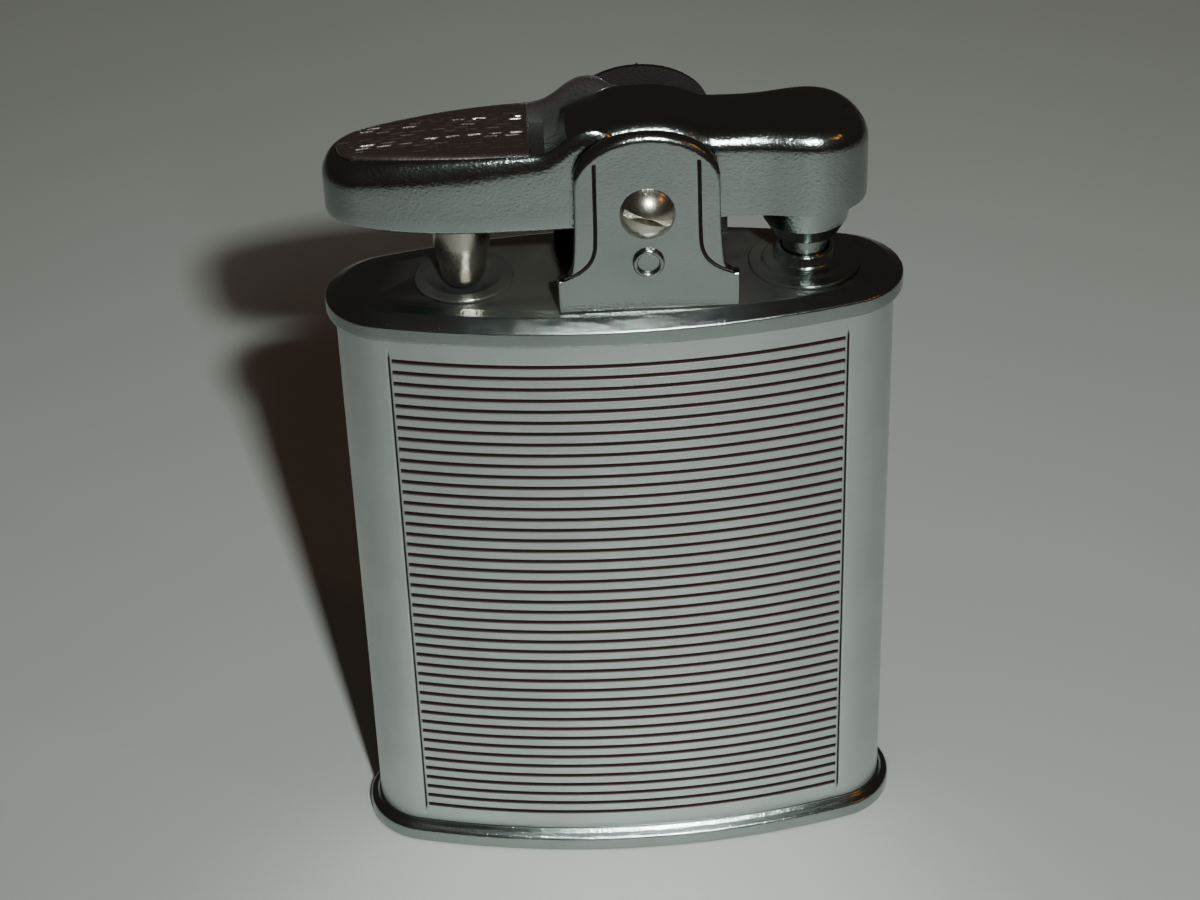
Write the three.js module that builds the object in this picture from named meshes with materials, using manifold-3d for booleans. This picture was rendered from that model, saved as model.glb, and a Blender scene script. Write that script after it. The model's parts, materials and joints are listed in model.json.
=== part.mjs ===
// A pocket petrol lighter with a thumb lever, a coupled snuffer arm and a flint wheel.
// Millimetres, +Z up, the front faces -Y. The origin is the middle of the base, on its underside.
import * as THREE from 'three';
import { mergeVertices } from 'three/addons/utils/BufferGeometryUtils.js';
import Module from 'manifold-3d';

const wasm = await Module();
wasm.setup();

// ---- Driving dimensions -------------------------------------------------------------------
const CASE_HALF_WIDTH = 18.42;   // oval case, half of its width along X
const CASE_HALF_DEPTH = 5.94;    // and half of its depth along Y
const FACE_RADIUS = 57.5;        // the front and the back are shallow arcs
const SHEET = 0.6;               // case sheet thickness
const BASE_HEIGHT = 1.5;         // base flange
const BASE_OVERHANG = 0.79;
const SLEEVE_TOP = 43.2;
const COVER_BOTTOM = 43.3;       // top cover
const COVER_TOP = 45.1;
const COVER_OVERHANG = 0.58;
const COVER_BEVEL_RISE = 0.63;
const COVER_BEVEL_RUN = 1.08;
const REST_GAP = 0.05;           // between flat faces that lie on each other
const RUN_GAP = 0.08;            // radial clearance of a turning fit

const PIVOT_X = 2.0;             // axle of the wheel and the snuffer
const PIVOT_Z = 52.1;
const LEVER_PIVOT_Z = 48.6;      // lower pivot rivets, the thumb lever turns on them
const AXLE_RADIUS = 0.9;
const RIVET_SHANK = 0.6;

const PLATE_INNER = 4.25;        // bridge plates, distances from the middle plane
const PLATE_STEP = 4.75;
const PLATE_OUTER = 5.0;
const PLATE_TOP = 57.7;
const FOOT_HALF_WIDTH = 5.75;
const FOOT_TOP = 47.5;

const LEVER_HALF_WIDTH = 4.0;
const LEVER_WALL = 0.55;
const LEVER_BOTTOM = 50.6;
const LEVER_TIP = -18.43;
const LEVER_BOW_X = -7.0;        // the blade's sides bow inward to the left of this
const LEVER_SIDE_RADIUS = 40;
const WEB_BOTTOM = 53.9;         // web that joins the lever's two walls
const WEB_TOP = 54.4;
const WEB_RIGHT = -4.2;
const INSERT_RIGHT = -5.15;
const INSERT_TIP = -17.35;
const INSERT_HALF_WIDTH = 3.38;
const INSERT_SIDE_RADIUS = 32;
const LEVER_TRAVEL = 12;         // degrees
const SNUFFER_RATIO = 3;         // internal sector on the lever to pinion on the snuffer

const ARM_HALF_WIDTH = 3.2;      // snuffer arm
const ARM_WALL = 0.5;
const ARM_TOP = 56.4;
const ARM_BOTTOM = 50.6;
const HEAD_X = 12.7;             // round head of the arm
const HEAD_RADIUS = 3.75;
const WICK_X = 12.5;

const WHEEL_RADIUS = 3.7;
const WHEEL_HALF_WIDTH = 1.1;
const FLINT_RADIUS = 1.2;
const SPRING_X = -9.85;          // plunger under the thumb lever
const FILLER_X = -9.0;           // filler screw in the base
const ROUND = 28;                // sides of a turned piece

// ---- Materials ----------------------------------------------------------------------------
const finish = (color, metalness, roughness) =>
  new THREE.MeshStandardMaterial({ color, metalness, roughness });
const satinChrome = () => finish(0xb9bcbc, 1.0, 0.3);
const brightChrome = () => finish(0xc8c8c8, 1.0, 0.08);
const satinNickel = () => finish(0xb8ada0, 1.0, 0.3);
const steel = () => finish(0x8c8c8c, 1.0, 0.35);
const brass = () => finish(0xb08d45, 1.0, 0.35);
const cotton = () => finish(0xe9e4d6, 0.0, 0.95);
const fibre = () => finish(0x7a3b22, 0.0, 0.8);
const flintMetal = () => finish(0x4a4744, 0.6, 0.7);

// ---- Geometry helpers ---------------------------------------------------------------------
const radians = THREE.MathUtils.degToRad;
const point = (x, y) => new THREE.Vector2(x, y);

function signedVolume(geometry) {
  const flat = geometry.index ? geometry.toNonIndexed() : geometry;
  const at = flat.attributes.position;
  const [a, b, c] = [new THREE.Vector3(), new THREE.Vector3(), new THREE.Vector3()];
  let total = 0;
  for (let i = 0; i < at.count; i += 3) {
    a.fromBufferAttribute(at, i);
    b.fromBufferAttribute(at, i + 1);
    c.fromBufferAttribute(at, i + 2);
    total += a.dot(b.cross(c)) / 6;
  }
  return total;
}

// One welded closed mesh with its faces turned outward.
function closed(geometry) {
  const plain = geometry.clone();
  plain.deleteAttribute('normal');
  plain.deleteAttribute('uv');
  const welded = mergeVertices(plain, 1e-4);
  const kept = [];
  const index = welded.index.array;
  const inward = signedVolume(welded) < 0;
  for (let i = 0; i < index.length; i += 3) {
    const [a, b, c] = [index[i], index[i + 1], index[i + 2]];
    if (a !== b && b !== c && c !== a) kept.push(a, inward ? c : b, inward ? b : c);
  }
  welded.setIndex(kept);
  return welded;
}

function toSolid(geometry) {
  const mesh = closed(geometry);
  return new wasm.Manifold(new wasm.Mesh({
    numProp: 3,
    vertProperties: new Float32Array(mesh.attributes.position.array),
    triVerts: new Uint32Array(mesh.index.array),
  }));
}

function toGeometry(solid) {
  const mesh = solid.getMesh();
  const geometry = new THREE.BufferGeometry();
  geometry.setAttribute('position', new THREE.BufferAttribute(new Float32Array(mesh.vertProperties), 3));
  geometry.setIndex(new THREE.BufferAttribute(new Uint32Array(mesh.triVerts), 1));
  return geometry;
}

const cut = (base, ...tools) =>
  toGeometry(tools.reduce((solid, tool) => solid.subtract(toSolid(tool)), toSolid(base)));
const join = (base, ...others) =>
  toGeometry(others.reduce((solid, other) => solid.add(toSolid(other)), toSolid(base)));
const common = (base, other) => toGeometry(toSolid(base).intersect(toSolid(other)));

function arc(cx, cy, radius, from, to, steps) {
  const points = [];
  for (let i = 0; i <= steps; i += 1) {
    const angle = radians(from + ((to - from) * i) / steps);
    points.push(point(cx + radius * Math.cos(angle), cy + radius * Math.sin(angle)));
  }
  return points;
}

const circle = (cx, cy, radius, sides = ROUND) => arc(cx, cy, radius, 0, 360, sides).slice(0, -1);
const smooth = (pairs, steps) => new THREE.SplineCurve(pairs.map(([x, y]) => point(x, y))).getPoints(steps);
const points2 = (pairs) => pairs.map(([x, y]) => point(x, y));

// An outline in plan, raised from one height to another.
function raise(outline, low, high) {
  const shape = new THREE.Shape(outline);
  const solid = new THREE.ExtrudeGeometry(shape, { depth: high - low, bevelEnabled: false });
  return solid.translate(0, 0, low);
}

// An outline in side view, X and Z, run across from one Y to another.
function runAcross(outline, near, far) {
  const shape = new THREE.Shape(outline);
  const solid = new THREE.ExtrudeGeometry(shape, { depth: far - near, bevelEnabled: false });
  return solid.rotateX(Math.PI / 2).translate(0, far, 0);
}

// A profile of [radius, height] turned about an upright axis at x.
function turned(profile, x, sides = ROUND) {
  return new THREE.LatheGeometry(points2(profile), sides).rotateX(Math.PI / 2).translate(x, 0, 0);
}

// A profile of [radius, y] turned about the cross axis through x, z.
function turnedAcross(profile, x, z, sides = ROUND) {
  return new THREE.LatheGeometry(points2(profile), sides).translate(x, 0, z);
}

const ring = (inner, outer, low, high) =>
  [[inner, low], [outer, low], [outer, high], [inner, high], [inner, low]];
const rod = (radius, low, high) => [[0, low], [radius, low], [radius, high], [0, high]];
const mirrored = (geometry) => closed(geometry.clone().scale(1, -1, 1));
const block = (x0, x1, y0, y1, z0, z1) => new THREE.BoxGeometry(x1 - x0, y1 - y0, z1 - z0)
  .translate((x0 + x1) / 2, (y0 + y1) / 2, (z0 + z1) / 2);

// The case oval: two shallow faces and two round ends, tangent where they meet.
const END_RADIUS = (CASE_HALF_WIDTH ** 2 + CASE_HALF_DEPTH ** 2 - 2 * FACE_RADIUS * CASE_HALF_DEPTH)
  / (2 * (CASE_HALF_WIDTH - FACE_RADIUS));
const END_X = CASE_HALF_WIDTH - END_RADIUS;
const FACE_Y = FACE_RADIUS - CASE_HALF_DEPTH;
const FACE_ANGLE = THREE.MathUtils.radToDeg(Math.atan2(END_X, FACE_Y));

function oval(offset, faceSteps = 20, endSteps = 14) {
  const face = FACE_RADIUS + offset;
  const end = END_RADIUS + offset;
  return [
    ...arc(0, FACE_Y, face, -90 - FACE_ANGLE, -90 + FACE_ANGLE, faceSteps).slice(0, -1),
    ...arc(END_X, 0, end, -90 + FACE_ANGLE, 90 - FACE_ANGLE, endSteps).slice(0, -1),
    ...arc(0, -FACE_Y, face, 90 - FACE_ANGLE, 90 + FACE_ANGLE, faceSteps).slice(0, -1),
    ...arc(-END_X, 0, end, 90 + FACE_ANGLE, 270 - FACE_ANGLE, endSteps).slice(0, -1),
  ];
}

// Ovals of the given offsets and heights skinned into one solid with flat ends.
function ovalStack(levels) {
  const rings = levels.map(([offset, z]) => oval(offset).map((p) => [p.x, p.y, z]));
  const count = rings[0].length;
  const low = rings.length * count;
  const positions = [...rings.flat(), [0, 0, levels[0][1]], [0, 0, levels[levels.length - 1][1]]];
  const index = [];
  for (let i = 0; i < count; i += 1) {
    const next = (i + 1) % count;
    for (let level = 0; level + 1 < rings.length; level += 1) {
      const [a, b] = [level * count + i, level * count + next];
      index.push(a, b, b + count, a, b + count, a + count);
    }
    const top = (rings.length - 1) * count;
    index.push(low, next, i, low + 1, top + i, top + next);
  }
  const geometry = new THREE.BufferGeometry();
  geometry.setAttribute('position', new THREE.BufferAttribute(new Float32Array(positions.flat()), 3));
  geometry.setIndex(index);
  return geometry;
}

// A wire spring about an upright axis.
class Coil extends THREE.Curve {
  constructor(x, radius, low, high, turns) {
    super();
    Object.assign(this, { x, radius, low, high, turns });
  }

  getPoint(t) {
    const angle = 2 * Math.PI * this.turns * t;
    return new THREE.Vector3(
      this.x + this.radius * Math.cos(angle),
      this.radius * Math.sin(angle),
      this.low + (this.high - this.low) * t,
    );
  }
}

function wireSpring(path, wire, stepsPerTurn = 12) {
  const section = new THREE.Shape(circle(0, 0, wire, 6));
  return new THREE.ExtrudeGeometry(section, {
    steps: Math.round(path.turns * stepsPerTurn), extrudePath: path, bevelEnabled: false,
  });
}

// ---- Case ---------------------------------------------------------------------------------
const FLINT_SCREW_HOLE = 2.15;
const FILLER_HOLE = 2.7;
const FLINT_TUBE_OUTER = 1.75;
const FLINT_TUBE_INNER = 1.35;
const TUBE_HOLE = 1.9;
const TANK_OFFSET = -0.78;
const TANK_FLOOR = 2.3;
const TANK_TOP = 42.9;

const caseSleeve = () => cut(
  ovalStack([[0, BASE_HEIGHT + REST_GAP], [0, SLEEVE_TOP]]),
  ovalStack([[-SHEET, 0], [-SHEET, SLEEVE_TOP + 2]]),
);

const baseCap = () => cut(
  ovalStack([
    [BASE_OVERHANG - 0.25, 0], [BASE_OVERHANG, 0.25], [BASE_OVERHANG, 0.9],
    [BASE_OVERHANG - 0.2, 1.3], [BASE_OVERHANG - 0.55, BASE_HEIGHT],
    [TANK_OFFSET, BASE_HEIGHT], [TANK_OFFSET, TANK_FLOOR - REST_GAP],
  ]),
  turned(rod(FLINT_SCREW_HOLE, -1, 4), PIVOT_X),
  turned(rod(FILLER_HOLE + 0.6, -1, 1.0), FILLER_X),
  turned(rod(FILLER_HOLE, 0, 4), FILLER_X),
);

const topCover = () => cut(
  ovalStack([
    [COVER_OVERHANG, COVER_BOTTOM], [COVER_OVERHANG, COVER_TOP - COVER_BEVEL_RISE],
    [COVER_OVERHANG - COVER_BEVEL_RUN, COVER_TOP],
  ]),
  ovalStack([[TANK_OFFSET, COVER_BOTTOM - 1], [TANK_OFFSET, COVER_TOP - 0.8]]),
  turned(rod(TUBE_HOLE, 40, 50), PIVOT_X),
  turned(rod(1.65, 40, 50), WICK_X),
  turned(rod(2.5, 40, 50), SPRING_X),
);

const fuelTank = () => cut(
  ovalStack([[TANK_OFFSET, TANK_FLOOR], [TANK_OFFSET, TANK_TOP]]),
  ovalStack([[TANK_OFFSET - 0.4, TANK_FLOOR + 0.5], [TANK_OFFSET - 0.4, TANK_TOP + 2]]),
  turned(rod(TUBE_HOLE, 0, 5), PIVOT_X),
  turned(rod(FILLER_HOLE - 0.2, 0, 5), FILLER_X),
);

const cottonWadding = () => cut(
  ovalStack([[TANK_OFFSET - 0.7, 3.1], [TANK_OFFSET - 0.7, 42.0]]),
  turned(rod(TUBE_HOLE + 0.15, 0, 50), PIVOT_X),
  turned(rod(1.3, 24, 43), WICK_X),
  turned(rod(2.75, 0, 5.8), FILLER_X),
);

const WICK_TUBE_OUTER = 1.5;
const WICK_TUBE_INNER = 1.15;
const COLLAR_INNER = 1.6;
const WICK_TUBE_TOP = 47.55;
const wick = () => turned([[0, 24.3], [1.0, 24.6], [1.0, 46.9], [0.7, 47.35], [0, 47.4]], WICK_X, 20);
const wickTube = () => turned(
  [
    [WICK_TUBE_INNER, 42.6], [WICK_TUBE_OUTER, 42.6], [WICK_TUBE_OUTER, 47.35],
    [WICK_TUBE_OUTER - 0.15, WICK_TUBE_TOP], [WICK_TUBE_INNER, WICK_TUBE_TOP], [WICK_TUBE_INNER, 42.6],
  ],
  WICK_X,
);
const wickCollar = () => turned(
  [
    [COLLAR_INNER, COVER_TOP + REST_GAP], [3.7, COVER_TOP + REST_GAP], [3.6, 45.32], [2.75, 45.42],
    [2.2, 45.62], [1.95, 45.95], [1.9, 46.3], [COLLAR_INNER, 46.4], [COLLAR_INNER, COVER_TOP + REST_GAP],
  ],
  WICK_X,
);

// ---- Flint --------------------------------------------------------------------------------
const FLINT_TOP = PIVOT_Z - WHEEL_RADIUS - 0.1;
const FLINT_BOTTOM = FLINT_TOP - 4.9;
const FOLLOWER_BOTTOM = FLINT_BOTTOM - 1.6;
const SCREW_NOSE = 7.0;

const flintTube = () => turned(
  ring(FLINT_TUBE_INNER, FLINT_TUBE_OUTER, BASE_HEIGHT + 0.2, PIVOT_Z - WHEEL_RADIUS - 0.5), PIVOT_X,
);
const flint = () => turned(rod(FLINT_RADIUS, FLINT_BOTTOM, FLINT_TOP), PIVOT_X, 20);
const flintFollower = () => turned(
  [[0, FOLLOWER_BOTTOM], [0.6, FOLLOWER_BOTTOM], [0.6, FLINT_BOTTOM - 0.9], [1.2, FLINT_BOTTOM - 0.9],
    [1.2, FLINT_BOTTOM - 0.1], [0, FLINT_BOTTOM - 0.1]],
  PIVOT_X, 20,
);
const flintSpring = () => wireSpring(
  new Coil(PIVOT_X, 0.95, SCREW_NOSE + 0.35, FLINT_BOTTOM - 1.25, 22), 0.2, 10,
);
const screwSlot = (x, z, width) => block(x - 5, x + 5, -width / 2, width / 2, z - 2, z);
const flintScrew = () => cut(
  turned(
    [[0, 0.3], [1.75, 0.3], [2.0, 0.5], [2.0, 1.55], [1.25, 1.55], [1.25, SCREW_NOSE], [0, SCREW_NOSE]],
    PIVOT_X,
  ),
  screwSlot(PIVOT_X, 0.85, 0.6),
);
const fillerScrew = () => cut(
  turned([[0, 0.2], [2.9, 0.2], [3.15, 0.45], [3.15, 0.75], [2.35, 0.75], [2.35, 5.0], [0, 5.0]], FILLER_X),
  screwSlot(FILLER_X, 0.6, 0.8),
);
const fillerWasher = () => turned(ring(2.45, 3.15, 0.8, 0.95), FILLER_X);

// ---- Bridge -------------------------------------------------------------------------------
// Half of a bell outline above the foot, from the foot upward, mirrored about the pivot's X.
function bell(flare, halfWidth, springLine, top) {
  const half = [
    point(FOOT_HALF_WIDTH, COVER_TOP + REST_GAP), point(FOOT_HALF_WIDTH, FOOT_TOP), ...points2(flare),
    ...arc(0, 0, 1, 0, 90, 12).map((p) => point(halfWidth * p.x, springLine + (top - springLine) * p.y)),
  ];
  const right = half.map((p) => point(PIVOT_X + p.x, p.y));
  const left = half.slice(0, -1).reverse().map((p) => point(PIVOT_X - p.x, p.y));
  return [...right, ...left];
}
const flangeOutline = () => bell([[5.2, 47.65], [4.88, 48.3], [4.75, 49.4]], 4.6, 54.5, PLATE_TOP);
const panelOutline = () => bell(
  [[4.9, 47.8], [4.1, 48.15], [3.6, 48.75], [3.35, 49.6]], 3.3, 55.35, PLATE_TOP - 0.4,
);
const acrossHole = (radius, z) => turnedAcross(rod(radius, -8, 8), PIVOT_X, z);

const frontPlate = () => cut(
  join(
    runAcross(flangeOutline(), -PLATE_STEP, -PLATE_INNER),
    runAcross(panelOutline(), -PLATE_OUTER, -PLATE_INNER - 0.2),
  ),
  acrossHole(AXLE_RADIUS + RUN_GAP, PIVOT_Z),
  acrossHole(RIVET_SHANK + RUN_GAP, LEVER_PIVOT_Z),
);

const UPRIGHT_INNER = 2.65;
const UPRIGHT_OUTER = 3.3;
const bridgeFrame = () => {
  const upright = runAcross(
    points2([[-0.4, 45.3], [4.4, 45.3], [4.1, 48.4], [3.3, 49.3], [0.7, 49.3], [-0.1, 48.4]]),
    UPRIGHT_INNER, UPRIGHT_OUTER,
  );
  const floor = block(-2.6, 6.6, -4.1, 4.1, COVER_TOP + REST_GAP, COVER_TOP + 0.55);
  return cut(
    join(floor, upright, mirrored(upright)),
    turned(rod(TUBE_HOLE, 44, 47), PIVOT_X),
    acrossHole(RIVET_SHANK + RUN_GAP, LEVER_PIVOT_Z),
  );
};

const frontRivet = () => turnedAcross(
  [[0, -PLATE_OUTER + 0.5], [0.38, -PLATE_OUTER + 0.5], [0.38, -PLATE_OUTER - 0.12],
    [0.62, -PLATE_OUTER - 0.28], [0.85, -PLATE_OUTER - 0.26], [1.0, -PLATE_OUTER - REST_GAP],
    [RIVET_SHANK, -PLATE_OUTER - REST_GAP], [RIVET_SHANK, -UPRIGHT_INNER], [0, -UPRIGHT_INNER]],
  PIVOT_X, LEVER_PIVOT_Z, 24,
);
const pivotAxle = () => turnedAcross(ring(0.6, AXLE_RADIUS, -4.9, 4.9), PIVOT_X, PIVOT_Z);
const SCREW_HEAD = 1.8;
const axleScrew = () => {
  const face = -PLATE_OUTER - REST_GAP;
  const dome = [
    [SCREW_HEAD, face], [SCREW_HEAD, face - 0.2], [1.55, face - 0.42], [1.1, face - 0.6], [0.55, face - 0.7],
  ];
  const outline = [[0, -3.0], [0.5, -3.0], [0.5, face], ...dome, [0, face - 0.72]];
  const body = turnedAcross(outline, PIVOT_X, PIVOT_Z);
  const slot = block(-4, 4, face - 2, face - 0.32, -0.24, 0.24).rotateY(radians(17));
  return cut(body, slot.translate(PIVOT_X, 0, PIVOT_Z));
};

// ---- Thumb lever --------------------------------------------------------------------------

// The top line of the lever's blade from its tip to the foot of the ear.
const BLADE_TOP = [
  [-17.3, 55.3], [-15.3, 55.5], [-13.4, 55.66], [-10.1, 55.86], [-7.0, 55.95], [-5.2, 55.97],
];

// The lever in side view: a flat left blade, then ears that rise beside the hump and reach the lower pivot.
function leverOutline() {
  const ear = smooth([
    [3.1, 48.2], [4.5, 49.8], [5.8, 51.6], [6.15, 53.2], [6.0, 54.8], [5.6, 55.7], [4.8, 56.3], [3.2, 56.6],
    [1.4, 56.75], [0.3, 57.0], [-0.5, 57.5], [-1.2, 57.67], [-1.9, 57.58], [-2.6, 57.22], [-3.5, 56.55],
    [-4.3, 56.12],
    [-5.2, 55.97],
  ], 48);
  return [
    ...points2([
      [LEVER_TIP, 51.4], [LEVER_TIP + 0.5, 51.0], [-15.5, 50.8], [-10.0, LEVER_BOTTOM], [-2.4, LEVER_BOTTOM],
    ]),
    ...points2([[-1.0, 50.2], [0.2, 49.3]]),
    ...arc(PIVOT_X, LEVER_PIVOT_Z, 1.2, 190, 320, 9),
    ...ear.slice(1),
    ...points2(BLADE_TOP).reverse().slice(1),
    ...points2([[LEVER_TIP + 0.5, 55.0], [LEVER_TIP, 54.2]]),
  ];
}

// Plan of a blade: straight to bowX, then bowed sides and a round tip, all tangent.
function blade(halfWidth, sideRadius, bowX, tip, right) {
  const reach = bowX - tip;
  const end = (reach ** 2 + halfWidth ** 2 - 2 * sideRadius * halfWidth) / (2 * (reach - sideRadius));
  const turn = THREE.MathUtils.radToDeg(Math.atan2(reach - end, sideRadius - halfWidth));
  return [
    point(right, halfWidth),
    ...arc(bowX, halfWidth - sideRadius, sideRadius, 90, 90 + turn, 9),
    ...arc(tip + end, 0, end, 90 + turn, 270 - turn, 14).slice(1),
    ...arc(bowX, sideRadius - halfWidth, sideRadius, 270 - turn, 270, 9).slice(1),
    point(right, -halfWidth),
  ];
}
const leverBlade = (inset, right) => blade(
  LEVER_HALF_WIDTH - inset, LEVER_SIDE_RADIUS - inset, LEVER_BOW_X, LEVER_TIP + inset, right,
);

// The pinion that the lever's internal sector drives.
const PINION_TEETH = 8;
function pinionOutline(grow) {
  const outline = [];
  for (let tooth = 0; tooth < PINION_TEETH; tooth += 1) {
    const middle = (360 / PINION_TEETH) * tooth;
    for (const [offset, radius] of [[-14, 1.38], [-6.5, 2.02], [6.5, 2.02], [14, 1.38]]) {
      outline.push(...arc(0, 0, radius + grow, middle + offset, middle + offset, 1).slice(1));
    }
  }
  return outline;
}

// The pinion's sweep through the lever's travel, seen from the lever, leaves the internal sector standing.
function pinionSweep(solid) {
  const steps = 16;
  let left = solid;
  for (let i = 0; i <= steps; i += 1) {
    const lever = (LEVER_TRAVEL * i) / steps;
    const pinion = runAcross(pinionOutline(0.1), -6, 6)
      .rotateY(-radians(SNUFFER_RATIO * lever))
      .translate(0, 0, PIVOT_Z - LEVER_PIVOT_Z)
      .rotateY(radians(lever))
      .translate(PIVOT_X, 0, LEVER_PIVOT_Z);
    left = left.subtract(toSolid(pinion));
  }
  return left;
}

const thumbLever = () => {
  const inner = LEVER_HALF_WIDTH - LEVER_WALL;
  const outer = common(
    runAcross(leverOutline(), -LEVER_HALF_WIDTH, LEVER_HALF_WIDTH),
    raise(leverBlade(0, 12), 40, 60),
  );
  const shell = cut(
    outer,
    raise(leverBlade(LEVER_WALL, 12), 40, WEB_BOTTOM),
    raise(leverBlade(LEVER_WALL, 12), WEB_TOP, 60),
    block(WEB_RIGHT, 12, -inner, inner, 40, 60),
    acrossHole(RIVET_SHANK + RUN_GAP, LEVER_PIVOT_Z),
  );
  return toGeometry(pinionSweep(toSolid(shell)));
};
const thumbInsert = () => {
  const low = WEB_TOP + REST_GAP;
  const side = points2([...BLADE_TOP, [0, 56], [0, low], [LEVER_TIP, low], [LEVER_TIP, 55.2]]);
  const plan = blade(INSERT_HALF_WIDTH, INSERT_SIDE_RADIUS, INSERT_RIGHT - 0.1, INSERT_TIP, INSERT_RIGHT);
  return common(runAcross(side, -5, 5), raise(plan, 50, 60));
};
const springGuide = () => turned(
  [
    [0, 50.4], [0.5, 50.5], [0.6, 50.8], [0.6, 53.3], [1.5, 53.4],
    [1.5, WEB_BOTTOM - REST_GAP], [0, WEB_BOTTOM - REST_GAP],
  ],
  SPRING_X, 20,
);

// ---- Plunger and return spring ------------------------------------------------------------
const PLUNGER_TIP = 44.7;
const springPlunger = () => turned(
  [
    [0, PLUNGER_TIP], [0.55, PLUNGER_TIP + 0.1], [1.05, PLUNGER_TIP + 0.5], [1.5, PLUNGER_TIP + 1.3],
    [1.75, PLUNGER_TIP + 2.2], [1.85, PLUNGER_TIP + 3.2], [1.85, 50.2], [1.45, 50.2], [1.45, 47.6],
    [1.1, 46.0], [0, 45.7],
  ],
  SPRING_X,
);
const RETURN_SPRING_BOTTOM = 46.4;
const returnSpring = () => wireSpring(new Coil(SPRING_X, 1.0, RETURN_SPRING_BOTTOM, 53.05, 8), 0.17);
const springSocket = () => turned(
  [
    [0, 44.15], [1.6, 44.15], [2.35, 44.5], [2.4, COVER_TOP + REST_GAP], [3.3, COVER_TOP + REST_GAP],
    [3.2, 45.35], [2.5, 45.35], [1.9, 44.95], [1.2, 44.6], [0, 44.5],
  ],
  SPRING_X,
);

// ---- Snuffer ------------------------------------------------------------------------------
const HUMP = [
  [-2.85, 56.13], [-1.5, 56.8], [0, 57.22], [2.0, 57.4], [4.0, 57.15], [5.3, 56.7], [6.4, ARM_TOP],
];

function armOutline() {
  const nose = 2.3;
  return [
    ...smooth(HUMP, 18).reverse(),
    ...points2([[-2.85, 54.6]]),
    ...arc(PIVOT_X, PIVOT_Z, nose, 198, 319, 10),
    ...points2([[16.1, ARM_BOTTOM], [16.45, 50.95], [16.45, 55.4], [16.2, 56.1], [15.5, ARM_TOP]]),
  ];
}

function armInnerOutline() {
  const roof = smooth(HUMP.map(([x, z]) => [x, z - ARM_WALL]), 18).reverse();
  return [
    ...roof,
    ...points2([[-4.0, 55.0], [-4.0, 40], [16.45 - ARM_WALL, 40], [16.45 - ARM_WALL, ARM_TOP - ARM_WALL]]),
  ];
}

// Plan of the arm: parallel sides that swell into the round head.
function armPlan(inset) {
  const width = ARM_HALF_WIDTH - inset;
  const swell = smooth([[9.6, width], [10.6, width + 0.1], [11.5, HEAD_RADIUS - inset - 0.18]], 6);
  const head = arc(HEAD_X, 0, HEAD_RADIUS - inset, 90, -90, 24);
  const near = swell.map((p) => point(p.x, -p.y));
  return [point(-6, -width), ...near, ...head.reverse(), ...swell.reverse(), point(-6, width)];
}

const snufferArm = () => cut(
  common(runAcross(armOutline(), -5, 5), raise(armPlan(0), 40, 60)),
  common(runAcross(armInnerOutline(), -5, 5), raise(armPlan(ARM_WALL), 30, 60)),
  acrossHole(AXLE_RADIUS + RUN_GAP, PIVOT_Z),
);
const CAP_BOTTOM = 47.65;
const snufferCap = () => turned(
  [
    [0, 48.75], [1.8, 48.75], [1.8, CAP_BOTTOM], [2.15, CAP_BOTTOM], [3.05, 48.75], [3.05, 51.4],
    [1.3, 51.9], [1.3, ARM_TOP - ARM_WALL - REST_GAP], [0, ARM_TOP - ARM_WALL - REST_GAP],
  ],
  WICK_X,
);
const snufferSeal = () => turned(rod(1.72, CAP_BOTTOM + 0.05, 48.7), WICK_X, 20);
const pinion = () => cut(
  runAcross(pinionOutline(0), -LEVER_HALF_WIDTH - 0.05, -ARM_HALF_WIDTH - REST_GAP)
    .translate(PIVOT_X, 0, PIVOT_Z),
  acrossHole(AXLE_RADIUS + RUN_GAP, PIVOT_Z),
);

// ---- Wheel and pawl -----------------------------------------------------------------------
function toothedWheel(teeth, tip, root) {
  const outline = [];
  for (let i = 0; i < 2 * teeth; i += 1) {
    const angle = (Math.PI * i) / teeth;
    const radius = i % 2 ? root : tip;
    outline.push(point(radius * Math.cos(angle), radius * Math.sin(angle)));
  }
  return outline;
}

const sparkWheel = () => cut(
  runAcross(toothedWheel(44, WHEEL_RADIUS, WHEEL_RADIUS - 0.18), -WHEEL_HALF_WIDTH, WHEEL_HALF_WIDTH)
    .translate(PIVOT_X, 0, PIVOT_Z),
  acrossHole(AXLE_RADIUS + RUN_GAP, PIVOT_Z),
);

const RATCHET_TEETH = 12;
const RATCHET_FACE = 99;         // degrees, the driven face of one tooth
const RATCHET_NEAR = WHEEL_HALF_WIDTH + 0.12;
const RATCHET_FAR = 1.8;
const ratchetWheel = () => {
  const outline = [];
  for (let i = 0; i < RATCHET_TEETH; i += 1) {
    const face = RATCHET_FACE + (360 / RATCHET_TEETH) * i;
    outline.push(...arc(0, 0, 2.15, face - 0.5, face, 1).slice(0, 1), ...arc(0, 0, 2.6, face, face + 4, 1));
  }
  return cut(
    runAcross(outline, RATCHET_NEAR, RATCHET_FAR).translate(PIVOT_X, 0, PIVOT_Z),
    acrossHole(AXLE_RADIUS + RUN_GAP, PIVOT_Z),
  );
};

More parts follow.
